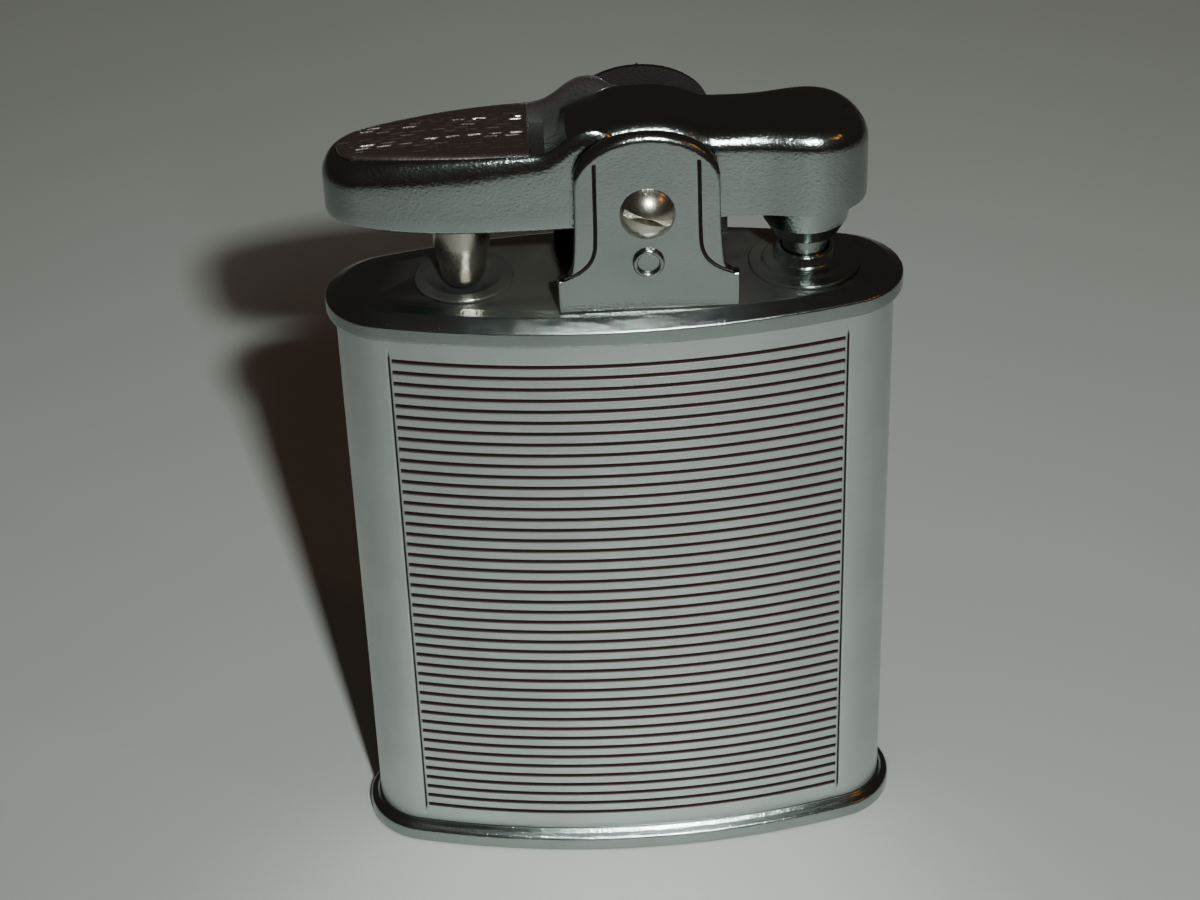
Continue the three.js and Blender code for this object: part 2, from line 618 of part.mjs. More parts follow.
const PAWL_X = 2.12;             // pawl pivot, from the axle
const PAWL_Z = 3.03;
const pawlPin = () => turnedAcross(
  rod(0.3, RATCHET_NEAR, ARM_HALF_WIDTH - ARM_WALL - REST_GAP),
  PIVOT_X + PAWL_X,
  PIVOT_Z + PAWL_Z,
  16,
);
const drivePawl = () => {
  const hub = arc(PAWL_X, PAWL_Z, 0.6, -70, 115, 10);
  const finger = points2([[1.0, 3.32], [-0.2, 2.92], [-0.25, 2.43], [-0.1, 2.37], [0.9, 2.74]]);
  return cut(
    runAcross([...hub, ...finger], RATCHET_NEAR + 0.05, RATCHET_FAR).translate(PIVOT_X, 0, PIVOT_Z),
    turnedAcross(rod(0.36, -8, 8), PIVOT_X + PAWL_X, PIVOT_Z + PAWL_Z, 16),
  );
};
const pawlSpring = () => wireSpring(new Coil(0, 0.5, 0, 0.5, 2.5), 0.08, 14)
  .rotateX(-Math.PI / 2)
  .translate(PIVOT_X + PAWL_X, RATCHET_FAR + 0.15, PIVOT_Z + PAWL_Z);

// ---- Assembly -----------------------------------------------------------------------------
function part(name, geometry, material) {
  const mesh = new THREE.Mesh(closed(geometry), material);
  mesh.name = name;
  return mesh;
}

function assembly(...parts) {
  const group = new THREE.Group();
  group.add(...parts);
  return group;
}

const caseParts = assembly(
  part('case_sleeve', caseSleeve(), satinChrome()),
  part('base_cap', baseCap(), brightChrome()),
  part('top_cover', topCover(), brightChrome()),
  part('fuel_tank', fuelTank(), steel()),
  part('cotton_wadding', cottonWadding(), cotton()),
  part('wick', wick(), cotton()),
  part('wick_tube', wickTube(), brightChrome()),
  part('wick_collar', wickCollar(), brightChrome()),
  part('filler_screw', fillerScrew(), brass()),
  part('filler_washer', fillerWasher(), fibre()),
  part('spring_socket', springSocket(), brightChrome()),
);

const flintParts = assembly(
  part('flint_tube', flintTube(), brass()),
  part('flint', flint(), flintMetal()),
  part('flint_follower', flintFollower(), brass()),
  part('flint_spring', flintSpring(), steel()),
  part('flint_screw', flintScrew(), brass()),
);

const bridgeParts = assembly(
  part('bridge_frame', bridgeFrame(), steel()),
  part('front_bridge_plate', frontPlate(), brightChrome()),
  part('rear_bridge_plate', mirrored(frontPlate()), brightChrome()),
  part('front_pivot_rivet', frontRivet(), brightChrome()),
  part('rear_pivot_rivet', mirrored(frontRivet()), brightChrome()),
  part('pivot_axle', pivotAxle(), steel()),
  part('front_axle_screw', axleScrew(), satinNickel()),
  part('rear_axle_screw', mirrored(axleScrew()), satinNickel()),
);

const leverParts = assembly(
  part('thumb_lever', thumbLever(), brightChrome()),
  part('thumb_insert', thumbInsert(), brightChrome()),
  part('spring_guide', springGuide(), steel()),
  part('spring_plunger', springPlunger(), satinNickel()),
  part('return_spring', returnSpring(), steel()),
);

const snufferParts = assembly(
  part('snuffer_arm', snufferArm(), brightChrome()),
  part('snuffer_cap', snufferCap(), brightChrome()),
  part('snuffer_seal', snufferSeal(), fibre()),
  part('front_pinion', pinion(), steel()),
  part('rear_pinion', mirrored(pinion()), steel()),
  part('pawl_pin', pawlPin(), steel()),
  part('pawl_spring', pawlSpring(), steel()),
  part('drive_pawl', drivePawl(), steel()),
);

const wheelParts = assembly(
  part('spark_wheel', sparkWheel(), steel()),
  part('ratchet_wheel', ratchetWheel(), steel()),
);

export default assembly(caseParts, flintParts, bridgeParts, leverParts, snufferParts, wheelParts);
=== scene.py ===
"""A slim chrome pocket lighter on a pale table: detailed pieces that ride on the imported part's bodies."""
import json
import math

import bmesh
import bpy
import numpy as np
from mathutils import Matrix, Vector


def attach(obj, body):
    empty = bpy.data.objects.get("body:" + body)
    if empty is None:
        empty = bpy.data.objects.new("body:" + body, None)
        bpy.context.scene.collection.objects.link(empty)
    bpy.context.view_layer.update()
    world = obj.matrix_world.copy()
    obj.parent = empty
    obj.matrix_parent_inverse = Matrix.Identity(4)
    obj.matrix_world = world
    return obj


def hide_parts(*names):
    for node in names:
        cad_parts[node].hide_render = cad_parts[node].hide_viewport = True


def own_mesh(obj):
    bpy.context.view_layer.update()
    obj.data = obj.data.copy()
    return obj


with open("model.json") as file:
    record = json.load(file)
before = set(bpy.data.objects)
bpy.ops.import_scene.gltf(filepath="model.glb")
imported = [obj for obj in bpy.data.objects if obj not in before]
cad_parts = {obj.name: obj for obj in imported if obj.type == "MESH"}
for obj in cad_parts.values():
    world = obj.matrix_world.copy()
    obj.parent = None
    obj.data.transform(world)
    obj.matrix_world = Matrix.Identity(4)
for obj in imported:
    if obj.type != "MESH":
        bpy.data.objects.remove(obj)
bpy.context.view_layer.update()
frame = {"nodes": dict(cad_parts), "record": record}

MM = 0.001

# ---- Dimensions, millimetres -----------------------------------------------------------------
CASE_HALF_WIDTH = 18.42
CASE_HALF_DEPTH = 5.94
FACE_RADIUS = 57.5
BASE_HEIGHT = 1.5
SLEEVE_TOP = 43.2
COVER_BOTTOM = 43.3
COVER_TOP = 45.1
GROOVES = 45
GROOVE_TOP = 41.47
GROOVE_PITCH = 38.42 / 44
GROOVE_DEPTH = 0.16
GROOVE_HALF_WIDTH = 0.19
PANEL_HALF_WIDTH = 15.0
PIVOT_X, PIVOT_Z = 2.0, 52.1
LEVER_PIVOT_Z = 48.6
PLATE_INNER = 4.25
PLATE_OUTER = 5.0
PLATE_TOP = 57.68
LEVER_HALF_WIDTH = 4.0
INSERT_RIGHT = -5.15
WEB_BOTTOM, WEB_TOP, WEB_RIGHT = 53.9, 54.4, -4.2
ARM_WALL = 0.5
ARM_TOP = 56.4
ARM_BOTTOM = 50.6
WICK_X = 12.5
SPRING_X = -9.85

# ---- Outlines --------------------------------------------------------------------------------


def arc(cx, cy, radius, start, end, steps):
    """Points on an arc, angles in degrees."""
    angles = np.radians(np.linspace(start, end, steps + 1))
    return [(cx + radius * math.cos(a), cy + radius * math.sin(a)) for a in angles]


def rounded(corners, closed=True, steps=6):
    """Corners (x, y, radius) joined by straight edges, each corner rounded by its radius."""
    points = []
    count = len(corners)
    for i, (x, y, radius) in enumerate(corners):
        here = Vector((x, y))
        if radius == 0 or (not closed and i in (0, count - 1)):
            points.append((x, y))
            continue
        back = Vector(corners[i - 1][:2]) - here
        on = Vector(corners[(i + 1) % count][:2]) - here
        half = back.angle(on) / 2
        reach = min(radius / math.tan(half), 0.49 * back.length, 0.49 * on.length)
        centre = here + (back.normalized() + on.normalized()).normalized() * (reach / math.cos(half))
        first = here + back.normalized() * reach - centre
        last = here + on.normalized() * reach - centre
        start = math.atan2(first.y, first.x)
        sweep = (math.atan2(last.y, last.x) - start + math.pi) % (2 * math.pi) - math.pi
        for k in range(steps + 1):
            angle = start + sweep * k / steps
            on_arc = centre + first.length * Vector((math.cos(angle), math.sin(angle)))
            points.append((on_arc.x, on_arc.y))
    return points


def spline(knots, steps=8):
    """A smooth curve through the knots."""
    knots = [np.array(k, float) for k in knots]
    ends = [2 * knots[0] - knots[1], *knots, 2 * knots[-1] - knots[-2]]
    points = []
    for a, b, c, d in zip(ends, ends[1:], ends[2:], ends[3:]):
        for t in np.linspace(0, 1, steps, endpoint=False):
            points.append(tuple(0.5 * (2 * b + (c - a) * t + (2 * a - 5 * b + 4 * c - d) * t * t
                                       + (3 * b - a - 3 * c + d) * t ** 3)))
    points.append(tuple(knots[-1]))
    return points


def height(knots):
    """A function that reads the smooth curve through the knots as height over x."""
    curve = np.array(spline(knots, 12))
    return lambda x: np.interp(x, curve[:, 0], curve[:, 1])


# ---- Meshes ----------------------------------------------------------------------------------


def shade(obj, sharp=38):
    """Outward normals, smooth except over edges sharper than the angle."""
    mesh = bmesh.new()
    mesh.from_mesh(obj.data)
    bmesh.ops.remove_doubles(mesh, verts=mesh.verts, dist=1e-7)
    bmesh.ops.dissolve_degenerate(mesh, edges=mesh.edges, dist=1e-8)
    bmesh.ops.recalc_face_normals(mesh, faces=mesh.faces)
    mesh.to_mesh(obj.data)
    mesh.free()
    obj.data.shade_smooth()
    obj.data.set_sharp_from_angle(angle=math.radians(sharp))
    return obj


def from_points(name, points, faces, sharp=38):
    data = bpy.data.meshes.new(name)
    data.from_pydata([tuple(MM * c for c in p) for p in points], [], faces)
    obj = bpy.data.objects.new(name, data)
    bpy.context.collection.objects.link(obj)
    return shade(obj, sharp)


def skin(name, grid, wrap_rows=False, cap=False, sharp=38):
    """A surface over a grid of loops; each loop closes on itself, and the rows wrap or get end caps."""
    rows, count = grid.shape[:2]
    faces = []
    for r in range(rows if wrap_rows else rows - 1):
        for c in range(count):
            n, up = (c + 1) % count, (r + 1) % rows
            faces.append((r * count + c, r * count + n, up * count + n, up * count + c))
    if cap:
        faces.append(tuple(range(count)))
        faces.append(tuple((rows - 1) * count + c for c in range(count)))
    return from_points(name, grid.reshape(-1, 3), faces, sharp)


def turned(name, profile, x, sides=96, sharp=38):
    """A profile of (radius, height) turned about an upright axis at x; it may end on the axis."""
    angles = np.linspace(0, 2 * math.pi, sides, endpoint=False)
    points, faces, rings = [], [], []
    for radius, z in profile:
        start = len(points)
        if radius < 1e-6:
            points.append((x, 0, z))
            rings.append([start] * sides)
        else:
            points += [(x + radius * math.cos(a), radius * math.sin(a), z) for a in angles]
            rings.append(list(range(start, start + sides)))
    pairs = list(zip(rings, rings[1:]))
    if profile[0][0] > 1e-6:
        pairs.append((rings[-1], rings[0]))
    for low, high in pairs:
        for c in range(sides):
            n = (c + 1) % sides
            corner = list(dict.fromkeys((low[c], low[n], high[n], high[c])))
            if len(corner) > 2:
                faces.append(corner)
    return from_points(name, points, faces, sharp)


def across(obj, x, z):
    """Turns a piece made about the upright axis at 0 so that its axis runs along Y through x, z."""
    obj.data.transform(Matrix.Translation((x * MM, 0, z * MM)) @ Matrix.Rotation(math.radians(-90), 4, "X"))
    return obj


def mirror(obj, name):
    """A copy reflected front to back."""
    copy = bpy.data.objects.new(name, obj.data.copy())
    copy.data.transform(Matrix.Scale(-1, 4, (0, 1, 0)))
    bpy.context.collection.objects.link(copy)
    return shade(copy)


def plate(name, outline, near, far, edge=0.1, holes=(), rounding=3, sharp=38):
    """A flat plate from its outline in side view, from one Y to another, with rounded edges."""
    curve = bpy.data.curves.new(name, "CURVE")
    curve.dimensions = "2D"
    curve.fill_mode = "BOTH"
    curve.extrude = ((far - near) / 2 - edge) * MM
    curve.bevel_depth = edge * MM
    curve.bevel_resolution = rounding
    curve.offset = -edge * MM
    for loop in (outline, *holes):
        line = curve.splines.new("POLY")
        line.points.add(len(loop) - 1)
        line.points.foreach_set("co", [c for x, z in loop for c in (x * MM, z * MM, 0, 1)])
        line.use_cyclic_u = True
    drawn = bpy.data.objects.new(name, curve)
    bpy.context.collection.objects.link(drawn)
    graph = bpy.context.evaluated_depsgraph_get()
    data = bpy.data.meshes.new_from_object(drawn.evaluated_get(graph))
    bpy.data.objects.remove(drawn)
    middle = Matrix.Translation((0, (near + far) / 2 * MM, 0))
    data.transform(middle @ Matrix.Rotation(math.radians(90), 4, "X"))
    obj = bpy.data.objects.new(name, data)
    bpy.context.collection.objects.link(obj)
    return shade(obj, sharp)


def upright(obj):
    """Turns a plate made in side view to lie flat: its outline is then in plan and its Y its height."""
    obj.data.transform(Matrix.Scale(-1, 4, (0, 1, 0)) @ Matrix.Rotation(math.radians(90), 4, "X"))
    return shade(obj)


def box(name, x0, x1, y0, y1, z0, z1):
    corners = ((x0, y0), (x1, y0), (x1, y1), (x0, y1))
    grid = np.array([[(x, y, z) for x, y in corners] for z in (z0, z1)], float)
    return skin(name, grid, cap=True)


def carve(obj, *cutters, sharp=38):
    """Cuts the cutters out of a piece and removes them."""
    for cutter in cutters:
        tool = obj.modifiers.new("cut", "BOOLEAN")
        tool.operation = "DIFFERENCE"
        tool.solver = "EXACT"
        tool.object = cutter
        graph = bpy.context.evaluated_depsgraph_get()
        data = bpy.data.meshes.new_from_object(obj.evaluated_get(graph))
        obj.modifiers.clear()
        obj.data = data
        bpy.data.objects.remove(cutter)
    return shade(obj, sharp)


def fuse(obj, *others):
    """Joins closed pieces into one object."""
    mesh = bmesh.new()
    for piece in (obj, *others):
        mesh.from_mesh(piece.data)
    mesh.to_mesh(obj.data)
    mesh.free()
    for piece in others:
        bpy.data.objects.remove(piece)
    return shade(obj)


def bore(radius, x, low, high):
    return turned("bore", [(0, low), (radius, low), (radius, high), (0, high)], x, 64)


def cross_bore(radius, z, near=-8, far=8):
    return across(turned("bore", [(0, near), (radius, near), (radius, far), (0, far)], 0, 64), PIVOT_X, z)


# ---- Materials -------------------------------------------------------------------------------


class Nodes:
    """A short way to build a material's node tree."""

    def __init__(self, name):
        self.material = bpy.data.materials.new(name)
        self.material.use_nodes = True
        self.tree = self.material.node_tree
        self.shader = self.tree.nodes["Principled BSDF"]
        self.place = self.tree.nodes.new("ShaderNodeTexCoord").outputs["Object"]

    def add(self, kind, inputs=None, **settings):
        node = self.tree.nodes.new(kind)
        for key, value in settings.items():
            setattr(node, key, value)
        for key, value in (inputs or {}).items():
            self.plug(value, node.inputs[key])
        return node

    def plug(self, value, socket):
        if isinstance(value, bpy.types.NodeSocket):
            self.tree.links.new(value, socket)
        else:
            socket.default_value = value

    def noise(self, scale, detail=4, roughness=0.6, stretch=(1, 1, 1)):
        coords = self.add("ShaderNodeMapping", {"Vector": self.place, "Scale": stretch})
        inputs = {"Vector": coords.outputs[0], "Scale": scale, "Detail": detail, "Roughness": roughness}
        return self.add("ShaderNodeTexNoise", inputs).outputs["Fac"]

    def spread(self, value, low, high, to_low, to_high):
        inputs = {"Value": value, "From Min": low, "From Max": high, "To Min": to_low, "To Max": to_high}
        return self.add("ShaderNodeMapRange", inputs).outputs["Result"]

    def blend(self, factor, first, second):
        node = self.add("ShaderNodeMix", data_type="RGBA")
        self.plug(factor, node.inputs[0])
        self.plug(first, node.inputs[6])
        self.plug(second, node.inputs[7])
        return node.outputs[2]

    def math(self, operation, first, second):
        return self.add("ShaderNodeMath", {0: first, 1: second}, operation=operation).outputs[0]

    def bump(self, value, strength, distance):
        inputs = {"Height": value, "Strength": strength, "Distance": distance}
        self.plug(self.add("ShaderNodeBump", inputs).outputs["Normal"], self.shader.inputs["Normal"])

    def set(self, **inputs):
        for key, value in inputs.items():
            self.plug(value, self.shader.inputs[key.replace("_", " ")])


def metal(name, light, dark, rough, worn, scratches=0.05, grain=(1, 1, 1)):
    """A metal whose tone and gloss wander, with fine scratches, pits, grimy film and painted shade: marked
    places turn dark red-brown and dull.
    """
    nodes = Nodes(name)
    bloom = nodes.noise(260, 3, 0.55)
    fine = nodes.noise(5200, 5, 0.7, grain)
    tone = nodes.spread(nodes.math("ADD", bloom, nodes.math("MULTIPLY", fine, 0.35)), 0.35, 1.0, 0, 1)
    wear = nodes.math("ADD", bloom, nodes.math("MULTIPLY", fine, 0.5))
    gloss = nodes.spread(wear, 0.45, 1.1, rough, worn)
    # Painted shade: where a piece marks it, the colour blends to dark red-brown and the gloss dulls. This
    # stands in for shade in hollows and hides reflections there.
    painted_shade = nodes.add("ShaderNodeAttribute", attribute_name="painted_shade").outputs["Fac"]
    color = nodes.blend(painted_shade, nodes.blend(tone, light, dark), (0.030, 0.013, 0.012, 1))
    gloss = nodes.math("MAXIMUM", gloss, nodes.math("MULTIPLY", painted_shade, 0.7))
    pits = nodes.spread(nodes.noise(5200, 2, 0.5), 0.3, 0.75, 0, 1)
    film = nodes.add("ShaderNodeAttribute", attribute_name="film").outputs["Fac"]
    film = nodes.math("MULTIPLY", film, nodes.spread(bloom, 0.3, 0.7, 0.5, 1.1))
    nodes.set(Base_Color=nodes.blend(film, color, (0.30, 0.255, 0.20, 1)), Roughness=gloss)
    nodes.set(Metallic=nodes.math("SUBTRACT", 1.0, nodes.math("MULTIPLY", film, 0.3)))
    nodes.bump(nodes.math("ADD", fine, nodes.math("MULTIPLY", pits, 1.2)), scratches, 0.00002)
    return nodes.material


def mark(obj, kind, amount):
    """Stores how much painted shade or film each vertex has, 0 to 1, from its place in millimetres."""
    place = np.array([v.co for v in obj.data.vertices]) / MM
    layer = obj.data.attributes.new(kind, "FLOAT", "POINT")
    layer.data.foreach_set("value", np.clip(amount(*place.T), 0, 1).astype(np.float32))


def bright_chrome():
    return metal("bright_chrome", (0.35, 0.39, 0.38, 1), (0.30, 0.335, 0.325, 1), 0.11, 0.23, 0.36)


def ribbed_chrome():
    """Satin plate: the grain runs round the case."""
    light, dark = (0.62, 0.675, 0.67, 1), (0.54, 0.585, 0.58, 1)
    return metal("ribbed_chrome", light, dark, 0.3, 0.42, 0.15, (0.15, 0.15, 2.0))


def satin_nickel():
    return metal("satin_nickel", (0.60, 0.56, 0.50, 1), (0.48, 0.45, 0.40, 1), 0.2, 0.3, 0.15)


def machined_steel():
    return metal("steel", (0.56, 0.56, 0.56, 1), (0.38, 0.38, 0.39, 1), 0.22, 0.42, 0.15, (0.4, 1, 2.0))


def wheel_steel():
    return metal("wheel_steel", (0.30, 0.30, 0.31, 1), (0.13, 0.12, 0.12, 1), 0.3, 0.5, 0.2)


def thumb_metal():
    light, dark = (0.80, 0.72, 0.74, 1), (0.50, 0.42, 0.43, 1)
    return metal("textured_plate", light, dark, 0.16, 0.36, 0.3, (0.3, 2.0, 1))


def turned_brass():
    return metal("brass", (0.80, 0.60, 0.28, 1), (0.52, 0.36, 0.15, 1), 0.16, 0.36, 0.12)


def plain(name, light, dark, rough, scale, strength, distance):
    """A dull material with a soft mottle and a grain in relief."""
    nodes = Nodes(name)
    grain = nodes.noise(scale, 6, 0.65)
    tone = nodes.spread(grain, 0.3, 0.7, 0, 1)
    nodes.set(Base_Color=nodes.blend(tone, light, dark), Roughness=rough)
    nodes.bump(grain, strength, distance)
    return nodes.material


def cotton():
    return plain("cotton", (0.88, 0.85, 0.77, 1), (0.60, 0.55, 0.46, 1), 0.95, 4200, 0.8, 0.0001)


def fibre():
    return plain("fibre", (0.40, 0.17, 0.10, 1), (0.22, 0.09, 0.05, 1), 0.8, 3800, 0.5, 0.00005)


def flint_metal():
    return plain("flint", (0.25, 0.24, 0.23, 1), (0.12, 0.11, 0.11, 1), 0.6, 5200, 0.5, 0.00004)


MATERIALS = {
    "bright_chrome": bright_chrome(),
    "ribbed_chrome": ribbed_chrome(),
    "satin_nickel": satin_nickel(),
    "steel": machined_steel(),
    "wheel_steel": wheel_steel(),
    "textured_plate": thumb_metal(),
    "brass": turned_brass(),
    "cotton": cotton(),
    "fibre": fibre(),
    "flint": flint_metal(),
}
SLOT_OF = {part["node"]: part["material_slot"] for part in frame["record"]["subparts"]}
BODY_OF = {node: body for body, nodes in frame["record"]["behaviour"]["bodies"].items() for node in nodes}


def stand_for(obj, node):
    """The detailed piece rides with its node's body, hides the node and takes its slot's material."""
    obj.data.materials.clear()
    obj.data.materials.append(MATERIALS[SLOT_OF[node]])
    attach(obj, BODY_OF[node])
    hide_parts(node)
    return obj


# ---- Case ------------------------------------------------------------------------------------
END_RADIUS = (CASE_HALF_WIDTH ** 2 + CASE_HALF_DEPTH ** 2 - 2 * FACE_RADIUS * CASE_HALF_DEPTH) / (
    2 * (CASE_HALF_WIDTH - FACE_RADIUS))
END_X = CASE_HALF_WIDTH - END_RADIUS
FACE_Y = FACE_RADIUS - CASE_HALF_DEPTH
FACE_ANGLE = math.atan2(END_X, FACE_Y)
TANGENT_X = FACE_RADIUS * math.sin(FACE_ANGLE)


def oval_stations(face_x, end_steps=36):
    """Points once round the case oval with their outward normals; face_x are stations across a face."""
    points, normals = [], []
    for side in (1, -1):
        for x in face_x:
            angle = math.asin(x / FACE_RADIUS)
            normals.append((side * math.sin(angle), -side * math.cos(angle)))
            points.append((side * FACE_RADIUS * math.sin(angle),
                           side * (FACE_Y - FACE_RADIUS * math.cos(angle))))
        for k in range(1, end_steps):
            angle = -math.pi / 2 + FACE_ANGLE + (math.pi - 2 * FACE_ANGLE) * k / end_steps
            normals.append((side * math.cos(angle), side * math.sin(angle)))
            points.append((side * (END_X + END_RADIUS * math.cos(angle)),
                           side * END_RADIUS * math.sin(angle)))
    return np.array(points), np.array(normals)


PLAIN_FACE = np.linspace(-TANGENT_X, TANGENT_X, 97)


def oval_solid(name, profile, closed=False, sharp=38):
    """Rings of (offset, z) round the case oval, capped unless the profile closes on itself."""
    points, normals = oval_stations(PLAIN_FACE)
    grid = [np.column_stack([points + normals * offset, np.full(len(points), z)]) for offset, z in profile]
    return skin(name, np.array(grid), wrap_rows=closed, cap=not closed, sharp=sharp)


def panel_columns():
    """Stations across a face: even steps, with close ones at the panel's border lines and line ends."""
    edge = PANEL_HALF_WIDTH
    close = [edge + d for d in (0.3, 0.14, 0.09, 0.04, 0.0, -0.04, -0.09, -0.14, -0.22, -0.3, -0.42, -0.6)]
    inner = list(np.linspace(-edge + 1.2, edge - 1.2, 41))
    right = sorted(close)
    return [-TANGENT_X, *[-x for x in reversed(right)], *inner, *right, TANGENT_X]


def ridge_rows():
    """Heights down the sleeve, close together across each engraved line."""
    rows = [BASE_HEIGHT + 0.05, BASE_HEIGHT + 0.12, 2.3]
    for k in range(GROOVES):
        centre = GROOVE_TOP - GROOVE_PITCH * (GROOVES - 1 - k)
        rows += [centre + d for d in (-0.24, -0.2, -0.15, -0.1, -0.05, 0.0, 0.05, 0.1, 0.15, 0.2, 0.24)]
    return np.array([*rows, 42.2, 42.7, SLEEVE_TOP - 0.05, SLEEVE_TOP])


def from_line(z):
    """Distance of each height from the nearest engraved line."""
    line = np.clip(np.round((GROOVE_TOP - z) / GROOVE_PITCH), 0, GROOVES - 1)
    return np.abs(z - GROOVE_TOP + GROOVE_PITCH * line)


def case_sleeve():
    points, normals = oval_stations(panel_columns())
    rows = ridge_rows()
    slope = np.clip(from_line(rows) / GROOVE_HALF_WIDTH, 0, 1)
    line = GROOVE_DEPTH * 0.5 * (1 + np.cos(slope * math.pi))
    reach = np.clip((PANEL_HALF_WIDTH - 0.2 - np.abs(points[:, 0])) / 0.1, 0, 1)
    border = 0.09 * np.clip(1 - np.abs(np.abs(points[:, 0]) - PANEL_HALF_WIDTH) / 0.1, 0, 1)
    inside = (rows > GROOVE_TOP - GROOVE_PITCH * (GROOVES - 0.6)) & (rows < GROOVE_TOP + GROOVE_PITCH * 0.6)
    on_face = np.abs(points[:, 0]) < TANGENT_X
    outer = []
    for z, cut, bordered in zip(rows, line, inside):
        depth = np.where(on_face, np.maximum(cut * reach, border * bordered), 0)
        outer.append(np.column_stack([points - normals * depth[:, None], np.full(len(points), z)]))
    wall = points - normals * 0.6
    inner = [np.column_stack([wall, np.full(len(points), z)]) for z in (SLEEVE_TOP, rows[0])]
    body = skin("sleeve", np.array([*outer, *inner]), wrap_rows=True, sharp=60)
    # painted shade in the engraved lines and the panel's border lines
    mark(body, "painted_shade", groove_painted_shade)
    stand_for(body, "case_sleeve")


def groove_painted_shade(x, y, z):
    """Painted shade darkens and dulls the bottom of the engraved lines and of the panel's border lines."""
    side = np.abs(x)
    line = np.clip((0.2 - from_line(z)) / 0.06, 0, 1) * (side < PANEL_HALF_WIDTH - 0.2)
    border = np.clip((0.1 - np.abs(side - PANEL_HALF_WIDTH)) / 0.07, 0, 1)
    low = GROOVE_TOP - GROOVE_PITCH * (GROOVES - 0.6)
    return np.maximum(line, border) * (z < GROOVE_TOP + 0.5) * (z > low)


def base_cap():
    profile = rounded([
        (-2.0, 0, 0), (0.79, 0, 0.22), (0.79, 1.12, 0.3), (0.3, 1.28, 0.2), (0.12, BASE_HEIGHT, 0.06),
        (-0.78, BASE_HEIGHT, 0.05), (-0.78, 2.2, 0),
    ], closed=False)
    body = oval_solid("base", profile)
    body = carve(body, bore(2.15, PIVOT_X, -1, 4), bore(3.3, -9.0, -1, 1.0), bore(2.7, -9.0, 0, 4))
    stand_for(body, "base_cap")


def top_cover():
    profile = rounded([
        (-0.78, 43.3, 0.03), (0.5, COVER_BOTTOM, 0.12), (0.58, 43.5, 0.15), (0.58, 44.42, 0.22),
        (-0.45, 45.0, 0.35),
        (-1.2, COVER_TOP, 0.3), (-1.6, COVER_TOP, 0),
    ], closed=False, steps=7)
    body = oval_solid("cover", profile)
    inside = oval_solid("inside", [(-0.78, 42), (-0.78, 44.3)])
    holes = (bore(1.9, PIVOT_X, 40, 50), bore(1.65, WICK_X, 40, 50), bore(2.5, SPRING_X, 40, 50))
    body = carve(body, inside, *holes)
    mark(body, "film", deck_film)
    stand_for(body, "top_cover")


def deck_film(x, y, z):
    """Soot and oil have dulled the deck round the mechanism."""
    return np.clip((13.5 - np.abs(x - 1.0)) / 6, 0, 0.5) * (z > COVER_TOP - 0.1)


def wick_pieces():
    tube = rounded([(1.15, 42.6, 0), (1.5, 42.6, 0), (1.5, 47.55, 0.12), (1.15, 47.55, 0.08)])
    stand_for(turned("wick_sleeve", tube, WICK_X), "wick_tube")
    collar = rounded([
        (1.6, 45.15, 0), (3.7, 45.15, 0.05), (3.66, 45.34, 0.08), (2.9, 45.36, 0.12), (2.7, 45.52, 0.1),
        (2.05, 45.62, 0.3), (1.86, 46.4, 0.12), (1.6, 46.42, 0.05),
    ])
    boss = turned("wick_boss", collar, WICK_X)
    mark(boss, "film", lambda x, y, z: np.clip((WICK_X - 0.5 - x) / 3, 0, 0.5))
    stand_for(boss, "wick_collar")
    strands = rounded([(0, 24.3, 0), (1.0, 24.3, 0.2), (1.0, 47.2, 0.3), (0, 47.4, 0)], closed=False)
    stand_for(turned("wick_strands", strands, WICK_X, 48), "wick")


def base_screws():
    flint = rounded([
        (0, 0.3, 0), (1.95, 0.3, 0.18), (1.95, 1.55, 0.1), (1.25, 1.55, 0.05), (1.25, 7.0, 0.15),
        (0, 7.0, 0),
    ], closed=False)
    slot = box("slot", PIVOT_X - 5, PIVOT_X + 5, -0.3, 0.3, -1, 0.85)
    stand_for(carve(turned("flint_plug_screw", flint, PIVOT_X), slot), "flint_screw")
    filler = rounded([
        (0, 0.2, 0), (3.1, 0.2, 0.2), (3.1, 0.75, 0.06), (2.35, 0.75, 0.04), (2.35, 5.0, 0.2),
        (0, 5.0, 0),
    ], closed=False)
    slot = box("slot", -14, -4, -0.4, 0.4, -1, 0.6)
    stand_for(carve(turned("filler_plug_screw", filler, -9.0), slot), "filler_screw")


# ---- Bridge ----------------------------------------------------------------------------------


PLATE_EDGE = height([(45, 0.12), (49, 0.12), (53.8, 0.16), (55.2, 0.4), (56.2, 0.55), (57.7, 0.55)])
SHOULDER_Z = 47.45


def plate_half_width(z):
    """Half of the bridge plate's width at height z: foot, flare, straight sides, elliptic arch."""
    if z < SHOULDER_Z:
        return 5.8
    if z < 54.5:
        return float(np.interp(z, FLARE[:, 1], FLARE[:, 0]))
    return 4.6 * math.sqrt(max(1 - ((z - 54.5) / (PLATE_TOP - 54.5)) ** 2, 1e-4))


FLARE = np.array(spline([
    (5.55, 47.45), (5.15, 47.7), (4.9, 48.1), (4.78, 48.7), (4.68, 50.0), (4.62, 51.5), (4.6, 54.5),
], 8))
CHANNEL = np.array(spline([
    (5.3, 47.62), (4.75, 47.85), (4.15, 48.25), (3.65, 48.85), (3.4, 49.6), (3.33, 50.6), (3.31, 52.0),
    (3.28, 55.7),
], 10))


def distance(x, z, line):
    """Shortest distance from each point to a polyline."""
    nearest = np.full(x.shape, 1e9)
    for (ax, az), (bx, bz) in zip(line, line[1:]):
        length = (bx - ax) ** 2 + (bz - az) ** 2
        t = np.clip(((x - ax) * (bx - ax) + (z - az) * (bz - az)) / length, 0, 1)
        nearest = np.minimum(nearest, np.hypot(x - ax - t * (bx - ax), z - az - t * (bz - az)))
    return nearest


